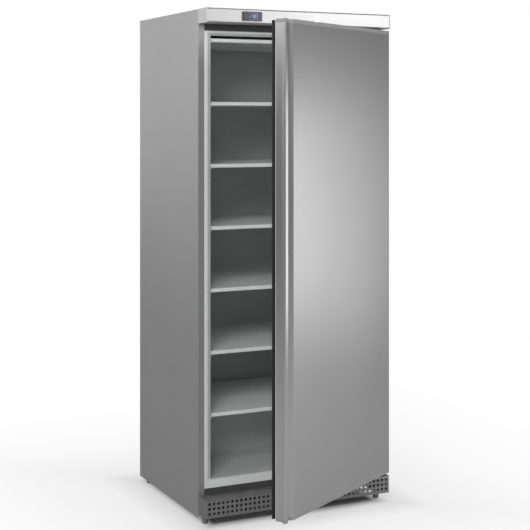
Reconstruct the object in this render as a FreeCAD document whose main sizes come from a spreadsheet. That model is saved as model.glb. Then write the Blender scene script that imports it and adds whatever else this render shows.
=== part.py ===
import FreeCAD, Part
import math
import operator
import os
from types import SimpleNamespace

import Sketcher
from FreeCAD import Placement, Rotation, Vector

# An upright storage freezer with one solid door, hinged on the right and shown ajar.
# Millimetres. +X is to the right, the front looks along -Y, +Z is up. The origin is on
# the floor, under the middle of the front left foot. The drawing itself is laid out
# about the middle of the cabinet's footprint, and put() moves every piece over.

DRIVING_SIZES = {
    # cabinet, outside
    "cabinet_width": 777.0,
    "cabinet_depth": 700.0,
    "cabinet_height": 1895.0,
    "fascia_projection": 80.0,
    "fascia_height": 54.5,
    "fascia_wall": 1.2,
    "fascia_bend": 6.0,
    "skin_wall": 1.0,
    "skin_bend": 1.8,
    "side_flange": 25.5,
    "side_lip": 12.0,
    "rear_flange": 18.0,
    "side_ground_gap": 20.0,
    "top_step": 1.0,
    "back_bead_width": 22.0,
    "back_bead_flat": 15.0,
    "back_bead_depth": 3.0,
    "back_bead_pitch": 180.0,
    # storage space
    "side_insulation": 55.5,
    "interior_floor": 154.0,
    "interior_ceiling_drop": 95.0,
    "interior_rear_wall": 50.0,
    "liner_wall": 1.0,
    "hump_depth": 280.0,
    "hump_height": 345.0,
    "floor_dish_depth": 3.0,
    "floor_dish_side": 35.0,
    "floor_dish_front": 97.0,
    "floor_dish_rear": 20.0,
    "breaker_top": 16.0,
    "breaker_bottom": 30.0,
    "breaker_face_side": 13.0,
    "breaker_face_top": 8.0,
    "breaker_face_bottom": 27.0,
    # evaporator shelves
    "lowest_shelf_top": 393.0,
    "ceiling_shelf_gap": 10.0,
    "ceiling_shelf_lift": 5.0,
    "shelf_setback": 25.0,
    "shelf_rear_gap": 25.0,
    "shelf_side_gap": 1.5,
    "shelf_front_height": 14.0,
    "shelf_front_depth": 12.0,
    "shelf_front_round": 3.0,
    "shelf_plate": 2.0,
    "channel_width": 9.0,
    "channel_height": 3.0,
    "channel_pitch": 135.0,
    "channel_margin": 40.0,
    "ledge_width": 10.0,
    "ledge_height": 5.0,
    "riser_radius": 4.0,
    "riser_side_gap": 34.0,
    "riser_rear_gap": 12.0,
    "riser_joint_rim": 1.0,
    "riser_tail": 20.0,
    "riser_outlet_drop": 15.0,
    "probe_radius": 4.0,
    "probe_length": 70.0,
    "probe_drop": 160.0,
    "probe_rear_gap": 120.0,
    "probe_clip_size": 16.0,
    "probe_clip_rim": 2.0,
    # plinth, rails and feet
    "plinth_top": 100.0,
    "plinth_bottom": 34.75,
    "plinth_setback": 7.0,
    "plinth_wall": 1.2,
    "plinth_bend": 6.0,
    "grille_hole_radius": 4.75,
    "grille_pitch": 18.2,
    "grille_row_pitch": 18.0,
    "grille_lowest_row": 16.0,
    "grille_side_margin": 15.0,
    "ledge_screw_side": 193.0,
    "ledge_screw_radius": 2.5,
    "ledge_screw_length": 10.0,
    "ledge_screw_head_radius": 5.0,
    "ledge_screw_head": 2.0,
    "rail_width": 40.0,
    "rail_wall": 3.0,
    "rail_gap": 0.5,
    "foot_sole_radius": 11.0,
    "foot_sole": 5.0,
    "foot_radius": 13.0,
    "foot_height": 24.0,
    "foot_neck_radius": 9.0,
    "foot_neck_height": 31.0,
    "foot_stud_radius": 5.0,
    "foot_stud_top": 62.0,
    "foot_side_gap": 24.5,
    "foot_front_gap": 71.0,
    "foot_rear_gap": 50.0,
    # door, seen closed
    "door_thickness": 48.5,
    "door_recess": 15.0,
    "door_hinge_gap": 0.5,
    "door_handle_gap": 8.0,
    "door_bottom_gap": 5.5,
    "door_top_gap": 6.5,
    "door_bend": 6.0,
    "door_trim_height": 13.0,
    "door_panel_wall": 1.5,
    "door_panel_bulge": 18.0,
    "door_panel_inset": 72.0,
    "door_panel_slope": 25.0,
    "door_open_angle": 31.3,
    "handle_width": 56.0,
    "handle_side_inset": 12.0,
    "handle_bar_width": 20.0,
    "handle_groove_depth": 22.0,
    "handle_groove_floor": 12.0,
    "handle_groove_lean": 4.0,
    "handle_nose_length": 16.0,
    "handle_nose_slope": 4.8,
    "handle_nose_round": 5.0,
    "handle_bevel": 3.0,
    "handle_edge": 2.0,
    "handle_edge_round": 1.8,
    "gasket_inset": 3.5,
    "gasket_hinge_inset": 8.0,
    "gasket_width": 18.0,
    "gasket_base": 4.0,
    "gasket_base_inset": 2.0,
    "gasket_neck": 5.0,
    "gasket_neck_inset": 5.0,
    "gasket_contact_gap": 0.3,
    # hinges
    "hinge_side_inset": 22.0,
    "hinge_front_inset": 38.0,
    "hinge_pin_radius": 5.0,
    "hinge_plate": 3.0,
    "hinge_plate_corner": 10.0,
    "hinge_pin_tip_gap": 1.0,
    "hinge_pin_head": 4.0,
    "hinge_pin_head_rim": 3.0,
    "hinge_plate_reach": 16.0,
    "hinge_plate_width": 46.0,
    "hinge_flange_height": 36.0,
    "bush_radius": 7.0,
    "bush_flange_radius": 12.0,
    "bush_depth": 11.0,
    "bush_flange": 2.0,
    "running_gap": 0.05,
    "seat_gap": 0.3,
    # controller
    "controller_offset": 206.0,
    "controller_width": 80.0,
    "controller_height": 35.0,
    "controller_bezel": 4.0,
    "controller_corner": 2.5,
    "controller_body_width": 71.0,
    "controller_body_height": 29.0,
    "controller_body_depth": 45.0,
    "controller_fit": 0.2,
    "display_width": 44.0,
    "display_height": 21.0,
    "display_wall": 1.5,
    "button_size": 8.6,
    "button_side": 31.0,
    "button_rise": 7.0,
    "button_length": 5.0,
    "button_proud": 1.0,
    "button_travel": 0.8,
    # lock
    "lock_offset": 62.0,
    "lock_rim_radius": 11.5,
    "lock_rim": 3.0,
    "lock_barrel_radius": 9.5,
    "lock_barrel_length": 24.0,
    "lock_plug_radius": 6.5,
    "lock_cam_length": 39.0,
    "lock_cam_width": 12.0,
    "lock_cam_wall": 2.0,
    "lock_cam_corner": 3.0,
    "key_slot_width": 1.4,
    "key_slot_height": 8.0,
    "lock_slot_depth": 10.0,
    "lock_slot_width": 8.0,
    "lock_slot_rim": 2.0,
    # machine compartment
    "machine_depth": 235.0,
    "machine_top": 300.0,
    "base_wall": 1.2,
    "tray_wall": 2.0,
    "tray_front_gap": 2.0,
    "foot_clearance": 5.0,
    "pot_radius": 86.0,
    "pot_height": 172.0,
    "pot_lid_radius": 60.0,
    "pot_step": 18.0,
    "pot_offset": 175.0,
    "pot_plate_rim": 6.0,
    "pot_plate_depth": 138.0,
    "pot_plate_wall": 3.0,
    "mount_radius": 11.0,
    "mount_height": 12.0,
    "condenser_left": 178.0,
    "condenser_width": 40.0,
    "condenser_depth": 190.0,
    "condenser_height": 205.0,
    "condenser_rise": 8.0,
    "header_radius": 10.0,
    "flat_tube": 4.0,
    "fan_radius": 82.0,
    "fan_tip_gap": 5.0,
    "fan_hub_radius": 20.0,
    "fan_hub_length": 18.0,
    "fan_blade_root": 4.0,
    "fan_shaft_seat": 12.0,
    "fan_blade_wall": 1.6,
    "fan_blade_chord": 44.0,
    "fan_blade_pitch": 30.0,
    "fan_shaft_radius": 3.0,
    "fan_motor_width": 46.0,
    "fan_motor_length": 38.0,
    "fan_coil_inset": 11.0,
    "fan_coil_left": 37.0,
    "fan_coil_right": 23.0,
    "fan_coil_height": 55.0,
    "shroud_wall": 2.0,
    "shroud_rim": 6.0,
    "shroud_gap": 34.0,
    "shroud_arm_height": 14.0,
    "shroud_bar": 3.0,
    "shroud_bar_hole": 5.0,
    "shroud_condenser_gap": 4.0,
    "drip_tray_height": 30.0,
    "drip_tray_width": 150.0,
    "drip_tray_wall": 2.0,
    "cover_wall": 1.2,
    "cover_slot_height": 8.0,
    "cover_slot_width": 250.0,
    "cover_slot_pitch": 26.0,
    "cover_slot_start": 50.0,
    "cover_slot_offset": 140.0,
    "inlet_width": 28.0,
    "inlet_height": 20.0,
    "inlet_depth": 17.0,
    "inlet_wall": 2.0,
    "inlet_floor": 3.0,
    "inlet_rim": 4.0,
    "inlet_side_gap": 68.5,
}

SHELF_COUNT = 7
CHANNEL_PASSES = 4
GRILLE_ROWS = 3
COVER_SLOT_ROWS = 8
FAN_BLADES = 4
CONDENSER_TUBES = 9
BACK_BEADS = 3

OPERATORS = {"+": operator.add, "-": operator.sub, "*": operator.mul, "/": operator.truediv}


class Size:
    """A length held twice: as a formula in the sheet's names, and as its value."""

    def __init__(self, text, value):
        self.text = text
        self.value = value

    def __add__(self, other):
        return combined(self, "+", other)

    def __radd__(self, other):
        return combined(other, "+", self)

    def __sub__(self, other):
        return combined(self, "-", other)

    def __rsub__(self, other):
        return combined(other, "-", self)

    def __mul__(self, other):
        return combined(self, "*", other)

    def __rmul__(self, other):
        return combined(other, "*", self)

    def __truediv__(self, other):
        return combined(self, "/", other)

    def __neg__(self):
        return combined(0, "-", self)


def as_size(number):
    if isinstance(number, Size):
        return number
    return Size(f"({number})" if number < 0 else f"{number}", float(number))


def combined(left, sign, right):
    left = as_size(left)
    right = as_size(right)
    return Size(f"({left.text} {sign} {right.text})", OPERATORS[sign](left.value, right.value))


def make_sheet():
    """The driving sizes as a sheet of plain numbers, each with its name as alias."""
    sheet = doc.addObject("Spreadsheet::Sheet", "sizes")
    for row, (name, value) in enumerate(DRIVING_SIZES.items(), start=1):
        sheet.set(f"A{row}", name)
        sheet.set(f"B{row}", str(value))
        sheet.setAlias(f"B{row}", name)
    doc.recompute()
    return SimpleNamespace(**{
        name: Size(f"sizes.{name}", float(getattr(sheet, name))) for name in DRIVING_SIZES
    })


def bind(thing, path, size):
    """Bind one property, or one coordinate of a placement, to the sheet."""
    thing.setExpression(path, as_size(size).text)


# ---------------------------------------------------------------- bodies and features

PLANES = {"XY": "XY_Plane", "XZ": "XZ_Plane", "YZ": "YZ_Plane"}
# How far along its own normal a sketch moves for one step along the world's axis.
NORMAL_SIGNS = {"XY": 1, "XZ": -1, "YZ": 1}


def origin_part(body, role):
    return next(item for item in body.Origin.OriginFeatures if item.Role == role)


def new_body(name):
    body = doc.addObject("PartDesign::Body", name)
    body.Label = name
    return put(body, 0, 0, 0)


def circle(u, v, radius):
    return {"centre": (as_size(u), as_size(v)), "radius": as_size(radius)}


def rectangle(low, high):
    return [(low[0], low[1]), (high[0], low[1]), (high[0], high[1]), (low[0], high[1])]


def centred(u, v, width, height):
    half_wide = as_size(width) / 2
    half_high = as_size(height) / 2
    return rectangle((u - half_wide, v - half_high), (u + half_wide, v + half_high))


def regular(u, v, radius, sides):
    """A polygon with its flats at the given radius, one flat at the top."""
    corners = []
    for corner in range(sides):
        angle = math.pi * (2 * corner + 1) / sides
        reach = radius / math.cos(math.pi / sides)
        corners.append((u + reach * round(math.sin(angle), 6), v + reach * round(math.cos(angle), 6)))
    return corners


def draw_polygon(sketch, corners):
    corners = [(as_size(u), as_size(v)) for u, v in corners]
    points = [Vector(u.value, v.value, 0) for u, v in corners]
    lines = []
    for start, end in zip(points, points[1:] + points[:1]):
        lines.append(sketch.addGeometry(Part.LineSegment(start, end)))
    for line, following in zip(lines, lines[1:] + lines[:1]):
        sketch.addConstraint(Sketcher.Constraint("Coincident", line, 2, following, 1))
    for line, corner in zip(lines, corners):
        for kind, coordinate in zip(("DistanceX", "DistanceY"), corner):
            pin_down(sketch, kind, line, 1, coordinate)


def draw_circle(sketch, ring):
    u, v = ring["centre"]
    middle = Vector(u.value, v.value, 0)
    arc = sketch.addGeometry(Part.Circle(middle, Vector(0, 0, 1), ring["radius"].value))
    index = sketch.addConstraint(Sketcher.Constraint("Radius", arc, ring["radius"].value))
    bind(sketch, f"Constraints[{index}]", ring["radius"])
    pin_down(sketch, "DistanceX", arc, 3, u)
    pin_down(sketch, "DistanceY", arc, 3, v)


def pin_down(sketch, kind, geometry, point, coordinate):
    index = sketch.addConstraint(Sketcher.Constraint(kind, -1, 1, geometry, point, coordinate.value))
    bind(sketch, f"Constraints[{index}]", coordinate)


def new_sketch(body, plane, level, outlines):
    """A sketch on one of the body's own origin planes, at a level along the world's axis."""
    sketch = body.newObject("Sketcher::SketchObject", f"{body.Label}_sketch")
    sketch.AttachmentSupport = (origin_part(body, PLANES[plane]), [""])
    sketch.MapMode = "FlatFace"
    bind(sketch, "AttachmentOffset.Base.z", NORMAL_SIGNS[plane] * as_size(level))
    for outline in outlines:
        if isinstance(outline, dict):
            draw_circle(sketch, outline)
        else:
            draw_polygon(sketch, outline)
    return sketch


def add_slab(body, plane, low, high, *outlines, taper=None):
    """Pad outlines from one level to another; a taper narrows the slab towards high."""
    towards_high = taper is not None
    start_low = (NORMAL_SIGNS[plane] > 0) or towards_high
    sketch = new_sketch(body, plane, low if start_low else high, outlines)
    pad = body.newObject("PartDesign::Pad", f"{body.Label}_pad")
    pad.Profile = sketch
    pad.Reversed = towards_high and NORMAL_SIGNS[plane] < 0
    bind(pad, "Length", as_size(high) - low)
    if taper is not None:
        bind(pad, "TaperAngle", -as_size(taper))
    doc.recompute()
    return pad


def cut_slab(body, plane, low, high, *outlines):
    """Cut outlines out of the body between two levels."""
    before = body.Shape.Volume
    start = high if NORMAL_SIGNS[plane] > 0 else low
    sketch = new_sketch(body, plane, start, outlines)
    pocket = body.newObject("PartDesign::Pocket", f"{body.Label}_pocket")
    pocket.Profile = sketch
    bind(pocket, "Length", as_size(high) - low)
    doc.recompute()
    if not body.Shape.Volume < before:
        raise RuntimeError(f"a pocket of {body.Label} cuts nothing")
    return pocket


def cut_funnel(body, plane, low, low_outline, high, high_outline):
    """Cut an opening that runs straight from one outline to another between two levels."""
    before = body.Shape.Volume
    low_sketch = new_sketch(body, plane, low, [low_outline])
    high_sketch = new_sketch(body, plane, high, [high_outline])
    funnel = body.newObject("PartDesign::SubtractiveLoft", f"{body.Label}_funnel")
    funnel.Profile = low_sketch
    funnel.Sections = [high_sketch]
    funnel.Ruled = True
    doc.recompute()
    if not body.Shape.Volume < before:
        raise RuntimeError(f"the funnel of {body.Label} cuts nothing")
    return funnel


def lies_along(edge, axis):
    box = edge.BoundBox
    spans = {"x": box.XLength, "y": box.YLength, "z": box.ZLength}
    along = spans.pop(axis)
    return along > 0.01 and max(spans.values()) < 0.01


def edges_along(feature, axis, *places):
    """Names of the straight edges along an axis that pass through the given places."""
    others = [name for name in "xyz" if name != axis]
    names = []
    for number, edge in enumerate(feature.Shape.Edges, start=1):
        if not lies_along(edge, axis):
            continue
        middle = edge.BoundBox.Center
        spot = [getattr(middle, name) for name in others]
        for place in places:
            if all(abs(here - as_size(there).value) < 0.02 for here, there in zip(spot, place)):
                names.append(f"Edge{number}")
    return names


def round_edges(body, radius, names):
    base = body.Tip
    rounding = body.newObject("PartDesign::Fillet", f"{body.Label}_rounding")
    rounding.Base = (base, names)
    bind(rounding, "Radius", radius)
    doc.recompute()
    return rounding


def hollow_out(body, wall, open_faces):
    """Turn the body into a sheet shell that is open at the given faces."""
    base = body.Tip
    shell = body.newObject("PartDesign::Thickness", f"{body.Label}_shell")
    shell.Base = (base, open_faces)
    bind(shell, "Value", wall)
    shell.Reversed = True
    shell.Join = "Arc"
    doc.recompute()
    return shell


def face_names(feature, test):
    return [f"Face{n}" for n, face in enumerate(feature.Shape.Faces, start=1) if test(face.BoundBox)]


# ------------------------------------------------------------- primitives and booleans

AXIS_TURNS = {
    "x": Rotation(Vector(0, 1, 0), 90),
    "y": Rotation(Vector(1, 0, 0), -90),
    "z": Rotation(),
}


def put(thing, x, y, z):
    """Place a thing at a spot that is given from the middle of the cabinet's footprint."""
    for axis, place in zip("xyz", (x - origin_x, y - origin_y, z)):
        bind(thing, f"Placement.Base.{axis}", place)
    return thing


def block(name, low, high):
    piece = doc.addObject("Part::Box", name)
    for side, start, end in zip(("Length", "Width", "Height"), low, high):
        bind(piece, side, as_size(end) - start)
    return put(piece, *low)


def rod(name, axis, start, length, radius):
    piece = doc.addObject("Part::Cylinder", name)
    piece.Placement = Placement(Vector(), AXIS_TURNS[axis])
    bind(piece, "Radius", radius)
    bind(piece, "Height", length)
    return put(piece, *start)


def prism(name, start, length, radius, sides):
    piece = doc.addObject("Part::Prism", name)
    piece.Polygon = sides
    bind(piece, "Circumradius", radius)
    bind(piece, "Height", length)
    return put(piece, *start)


def fused(name, pieces):
    whole = doc.addObject("Part::MultiFuse", name)
    whole.Shapes = pieces
    whole.Label = name
    return whole


def grouped(name, pieces):
    """Equal pieces that share one node, each still a solid of its own."""
    group = doc.addObject("Part::Compound", name)
    group.Links = pieces
    group.Label = name
    return group


# ------------------------------------------------------------------------ the freezer

doc = FreeCAD.newDocument("upright_freezer")
s = make_sheet()

half_width = s.cabinet_width / 2
front = -s.cabinet_depth / 2
back = s.cabinet_depth / 2
cabinet_front = front + s.fascia_projection
cabinet_top = s.cabinet_height - s.top_step
skin_top = cabinet_top - s.skin_wall
foam_front = cabinet_front + s.side_lip
foam_back = back - 2 * s.skin_wall - s.back_bead_depth
half_interior = half_width - s.side_insulation
interior_ceiling = s.cabinet_height - s.interior_ceiling_drop
interior_rear = back - s.interior_rear_wall
hump_front = back - s.hump_depth
fascia_bottom = s.cabinet_height - s.fascia_height
fascia_middle = s.cabinet_height - s.fascia_height / 2
half_doorway = half_width - s.side_flange
doorway_bottom = s.interior_floor - s.breaker_bottom
doorway_top = interior_ceiling + s.breaker_top
base_bottom = s.plinth_top - s.base_wall
machine_front = back - s.machine_depth
step_top = s.machine_top + s.base_wall
step_front = machine_front - s.base_wall
plinth_front = front + s.plinth_setback
rail_outer = half_width - s.plinth_wall - s.rail_gap
foot_x = half_width - s.foot_side_gap
foot_front_y = front + s.foot_front_gap
foot_rear_y = back - s.foot_rear_gap
origin_x = -foot_x
origin_y = foot_front_y


def make_side_panel(name, side):
    """A side of the casing: one sheet, folded in at the front and at the rear."""
    x_out = half_width * side
    x_in = (half_width - s.skin_wall) * side
    x_flange = (half_width - s.side_flange) * side
    x_lip = (half_width - s.side_flange + s.skin_wall) * side
    x_rear = (half_width - s.rear_flange) * side
    body = new_body(name)
    add_slab(body, "XY", s.side_ground_gap, skin_top, [
        (x_out, cabinet_front),
        (x_flange, cabinet_front),
        (x_flange, foam_front),
        (x_lip, foam_front),
        (x_lip, cabinet_front + s.skin_wall),
        (x_in, cabinet_front + s.skin_wall),
        (x_in, back - s.skin_wall),
        (x_rear, back - s.skin_wall),
        (x_rear, back),
        (x_out, back),
    ])
    corners = [(x_out, cabinet_front), (x_out, back)]
    round_edges(body, s.skin_bend, edges_along(body.Tip, "z", *corners))
    # Beside the plinth the front fold is left out, so that the rail can pass.
    cut_slab(body, "XY", s.side_ground_gap, s.plinth_top,
             rectangle((x_in, cabinet_front), (x_flange, foam_front)))
    return body


def make_top_panel():
    body = new_body("top_panel")
    add_slab(body, "XY", skin_top, cabinet_top, rectangle((-half_width, cabinet_front), (half_width, back)))
    return body


def make_back_panel():
    """The back sheet, stiffened by upright beads that are pressed into it."""
    half = half_width - s.skin_wall
    outer = back - s.skin_wall
    inner = outer - s.skin_wall
    rear_line = [(-half, outer)]
    front_line = []
    for bead in range(BACK_BEADS):
        middle = (bead - (BACK_BEADS - 1) / 2) * s.back_bead_pitch
        for side, width, depth in ((-1, s.back_bead_width, 0), (-1, s.back_bead_flat, 1),
                                   (1, s.back_bead_flat, 1), (1, s.back_bead_width, 0)):
            place = middle + width / 2 * side
            rear_line.append((place, outer - s.back_bead_depth * depth))
            front_line.append((place, inner - s.back_bead_depth * depth))
    rear_line.append((half, outer))
    front_line.append((half, inner))
    body = new_body("back_panel")
    add_slab(body, "XY", step_top, skin_top, rear_line + front_line[::-1] + [(-half, inner)])
    return body


def make_base_pan():
    """The casing's underside, stepped up over the machine compartment."""
    half = half_width - s.skin_wall
    body = new_body("base_pan")
    add_slab(body, "YZ", -half, half, [
        (foam_front, base_bottom),
        (machine_front, base_bottom),
        (machine_front, s.machine_top),
        (foam_back, s.machine_top),
        (foam_back, step_top),
        (step_front, step_top),
        (step_front, s.plinth_top),
        (foam_front, s.plinth_top),
    ])
    return body


def storage_outline(grow):
    """Side view of the storage space, grown all round except at its open front."""
    floor = s.interior_floor - grow
    hump_face = hump_front + grow
    hump_top = s.hump_height - grow
    rear = interior_rear + grow
    ceiling = interior_ceiling + grow
    return [(foam_front, floor), (hump_face, floor), (hump_face, hump_top),
            (rear, hump_top), (rear, ceiling), (foam_front, ceiling)]


def floor_dish(grow):
    """Plan view of the shallow dish in the storage space's floor."""
    half = half_interior - s.floor_dish_side + grow
    return rectangle((-half, cabinet_front + s.floor_dish_front - grow),
                     (half, hump_front - s.floor_dish_rear + grow))


def make_insulation():
    half = half_width - s.skin_wall
    body = new_body("insulation_foam")
    add_slab(body, "YZ", -half, half, [
        (foam_front, s.plinth_top),
        (step_front, s.plinth_top),
        (step_front, step_top),
        (foam_back, step_top),
        (foam_back, skin_top),
        (foam_front, skin_top),
    ])
    half_hole = half_interior + s.liner_wall
    cut_slab(body, "YZ", -half_hole, half_hole, storage_outline(s.liner_wall))
    floor_below = s.interior_floor - s.liner_wall
    cut_slab(body, "XY", floor_below - s.floor_dish_depth, floor_below, floor_dish(s.liner_wall))
    return body


def make_inner_liner():
    half_outer = half_interior + s.liner_wall
    body = new_body("inner_liner")
    add_slab(body, "YZ", -half_outer, half_outer, storage_outline(s.liner_wall))
    floor = s.interior_floor
    floor_below = floor - s.liner_wall
    add_slab(body, "XY", floor_below - s.floor_dish_depth, floor_below, floor_dish(s.liner_wall))
    cut_slab(body, "YZ", -half_interior, half_interior, storage_outline(as_size(0)))
    cut_slab(body, "XY", floor - s.floor_dish_depth, floor, floor_dish(as_size(0)))
    return body


def make_breaker_frame():
    """The plastic frame round the opening: a flat face, then a slope back to the liner."""
    body = new_body("breaker_frame")
    add_slab(body, "XZ", cabinet_front, foam_front,
             rectangle((-half_doorway, doorway_bottom), (half_doorway, doorway_top)))
    half = half_doorway - s.breaker_face_side
    face_edge = rectangle((-half, doorway_bottom + s.breaker_face_bottom),
                          (half, doorway_top - s.breaker_face_top))
    liner_edge = rectangle((-half_interior, s.interior_floor), (half_interior, interior_ceiling))
    cut_funnel(body, "XZ", cabinet_front, face_edge, foam_front, liner_edge)
    return body


def make_cross_member(name, low, high):
    """A channel between the side panels that closes the casing's front."""
    wall = s.skin_wall
    body = new_body(name)
    add_slab(body, "YZ", -half_doorway, half_doorway, [
        (cabinet_front, low),
        (foam_front, low),
        (foam_front, low + wall),
        (cabinet_front + wall, low + wall),
        (cabinet_front + wall, high - wall),
        (foam_front, high - wall),
        (foam_front, high),
        (cabinet_front, high),
    ])
    return body


# ------------------------------------------------------------ fascia, controller, lock

controller_x = -s.controller_offset
bezel_front = front - s.controller_bezel
barrel_rear = front + s.lock_barrel_length
cam_front = barrel_rear + s.seat_gap
cam_rear = cam_front + s.lock_cam_wall
cam_middle = (cam_front + cam_rear) / 2
door_width = s.cabinet_width - s.door_hinge_gap - s.door_handle_gap
hinge_x = half_width - s.door_hinge_gap - s.hinge_side_inset
hinge_y = front + s.door_recess + s.hinge_front_inset
door_bottom = s.plinth_top + s.door_bottom_gap
door_top = fascia_bottom - s.door_top_gap


def cam_slot(x, y):
    """Plan view of the slot that the lock's cam swings down through."""
    rim = s.lock_slot_width / 2
    left = x - s.lock_cam_width / 2 - s.lock_slot_rim
    return rectangle((left, y - rim), (x + s.lock_cam_length, y + rim))


def make_fascia():
    """The box across the top: one folded sheet, open towards the cabinet."""
    body = new_body("fascia")
    box = add_slab(body, "XZ", front, cabinet_front,
                   rectangle((-half_width, fascia_bottom), (half_width, s.cabinet_height)))
    bends = edges_along(box, "z", (-half_width, front), (half_width, front))
    bends += edges_along(box, "x", (front, s.cabinet_height), (front, fascia_bottom))
    rounded = round_edges(body, s.fascia_bend, bends)
    rear = cabinet_front.value
    hollow_out(body, s.fascia_wall, face_names(rounded, lambda box: box.YMin > rear - 0.01))
    window = centred(controller_x, fascia_middle,
                     s.controller_body_width + 2 * s.controller_fit,
                     s.controller_body_height + 2 * s.controller_fit)
    lock_hole = regular(s.lock_offset, fascia_middle, s.lock_barrel_radius + s.running_gap, 8)
    cut_slab(body, "XZ", front - 1, front + 2 * s.fascia_wall, window, lock_hole)
    pin_hole = regular(hinge_x, hinge_y, s.bush_radius, 8)
    cut_slab(body, "XY", fascia_bottom - 1, fascia_bottom + 2 * s.fascia_wall,
             cam_slot(s.lock_offset, cam_middle), pin_hole)
    return body


def button_places():
    """Names of the keys and where each stands on the bezel."""
    return {
        "button_up": (controller_x - s.button_side, fascia_middle + s.button_rise),
        "button_down": (controller_x - s.button_side, fascia_middle - s.button_rise),
        "button_set": (controller_x + s.button_side, fascia_middle + s.button_rise),
        "button_power": (controller_x + s.button_side, fascia_middle - s.button_rise),
    }


def make_controller():
    body = new_body("controller_housing")
    bezel = add_slab(body, "XZ", bezel_front, front,
                     centred(controller_x, fascia_middle, s.controller_width, s.controller_height))
    corners = [(controller_x + s.controller_width / 2 * x, fascia_middle + s.controller_height / 2 * z)
               for x in (-1, 1) for z in (-1, 1)]
    round_edges(body, s.controller_corner, edges_along(bezel, "y", *corners))
    add_slab(body, "XZ", front, front + s.controller_body_depth,
             centred(controller_x, fascia_middle, s.controller_body_width, s.controller_body_height))
    seat = 2 * s.controller_fit
    window = centred(controller_x, fascia_middle, s.display_width + seat, s.display_height + seat)
    cut_slab(body, "XZ", bezel_front, bezel_front + s.display_wall, window)
    key_rear = bezel_front - s.button_proud + s.button_length + s.button_travel + s.controller_fit
    keys = [centred(x, z, s.button_size + seat, s.button_size + seat) for x, z in button_places().values()]
    cut_slab(body, "XZ", bezel_front, key_rear, *keys)

    lens = new_body("controller_display")
    add_slab(lens, "XZ", bezel_front, bezel_front + s.display_wall,
             centred(controller_x, fascia_middle, s.display_width, s.display_height))
    return [body, lens]


def make_buttons():
    keys = []
    key_front = bezel_front - s.button_proud
    for name, (x, z) in button_places().items():
        key = new_body(name)
        add_slab(key, "XZ", key_front, key_front + s.button_length,
                 centred(x, z, s.button_size, s.button_size))
        keys.append(key)
    return keys


def make_lock():
    x = s.lock_offset
    z = fascia_middle
    bore = regular(x, z, s.lock_plug_radius, 16)
    barrel = new_body("lock_barrel")
    add_slab(barrel, "XZ", front - s.lock_rim, front, regular(x, z, s.lock_rim_radius, 24), bore)
    add_slab(barrel, "XZ", front, barrel_rear, regular(x, z, s.lock_barrel_radius, 8), bore)

    # The plug turns in the barrel and carries the cam, which lies level when unlocked.
    plug = new_body("lock_cam")
    rim = s.lock_cam_width / 2
    corner = s.lock_cam_corner
    tip = x + s.lock_cam_length
    plug_front = front - s.lock_rim - s.seat_gap
    add_slab(plug, "XZ", plug_front, cam_rear, circle(x, z, s.lock_plug_radius - s.running_gap))
    add_slab(plug, "XZ", cam_front, cam_rear, [
        (x - rim, z - rim + corner), (x - rim + corner, z - rim),
        (tip - corner, z - rim), (tip, z - rim + corner),
        (tip, z + rim - corner), (tip - corner, z + rim),
        (x - rim + corner, z + rim), (x - rim, z + rim - corner),
    ])
    cut_slab(plug, "XZ", plug_front, plug_front + 2 * s.lock_rim,
             centred(x, z, s.key_slot_width, s.key_slot_height))
    return [barrel, plug]


# --------------------------------------------------------------------- hinges and door

door_front_y = -s.hinge_front_inset
door_back_y = door_front_y + s.door_thickness
panel_front_y = door_back_y - s.door_panel_wall
door_right_x = s.hinge_side_inset
door_left_x = s.hinge_side_inset - door_width
skin_left_x = door_left_x + s.handle_width
skin_bottom = door_bottom + s.door_trim_height
skin_upper = door_top - s.door_trim_height
side_face_x = door_left_x + s.handle_side_inset


def hang(piece):
    """Place a piece that was made about the hinge axis, with the door ajar."""
    piece.Placement = Placement(Vector(), Rotation(Vector(0, 0, 1), 1))
    bind(piece, "Placement.Rotation.Angle", s.door_open_angle)
    return put(piece, hinge_x, hinge_y, 0)


def make_hinge_bracket(name, plate_low, flange_high):
    """A bracket plate with a bore for the pin; the upper one has an upright flange."""
    plate_high = plate_low + s.hinge_plate
    left = hinge_x - s.hinge_plate_width / 2
    right = half_width - s.fascia_wall - s.seat_gap
    nose = hinge_y - s.hinge_plate_reach
    corner = s.hinge_plate_corner
    body = new_body(name)
    add_slab(body, "XY", plate_low, plate_high, [
        (left, cabinet_front), (left, nose + corner), (left + corner, nose),
        (right - corner, nose), (right, nose + corner), (right, cabinet_front),
    ])
    if flange_high is not None:
        add_slab(body, "XZ", cabinet_front - s.hinge_plate, cabinet_front,
                 rectangle((left, plate_high), (right, flange_high)))
    cut_slab(body, "XY", plate_low, plate_high,
             circle(hinge_x, hinge_y, s.hinge_pin_radius + s.running_gap))
    return body


def make_hinges():
    bracket_low = fascia_bottom + s.fascia_wall
    lower = make_hinge_bracket("hinge_bracket_bottom", s.plinth_top, None)
    upper = make_hinge_bracket("hinge_bracket_top", bracket_low,
                               bracket_low + s.hinge_plate + s.hinge_flange_height)
    pin = circle(hinge_x, hinge_y, s.hinge_pin_radius)
    pin_reach = s.bush_depth - s.hinge_pin_tip_gap
    lower_pin = new_body("hinge_pin_bottom")
    add_slab(lower_pin, "XY", s.plinth_top, door_bottom + pin_reach, pin)
    head_low = bracket_low + s.hinge_plate
    upper_pin = new_body("hinge_pin_top")
    add_slab(upper_pin, "XY", door_top - pin_reach, head_low, pin)
    add_slab(upper_pin, "XY", head_low, head_low + s.hinge_pin_head,
             regular(hinge_x, hinge_y, s.hinge_pin_radius + s.hinge_pin_head_rim, 6))
    return [lower, upper, lower_pin, upper_pin]


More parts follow.
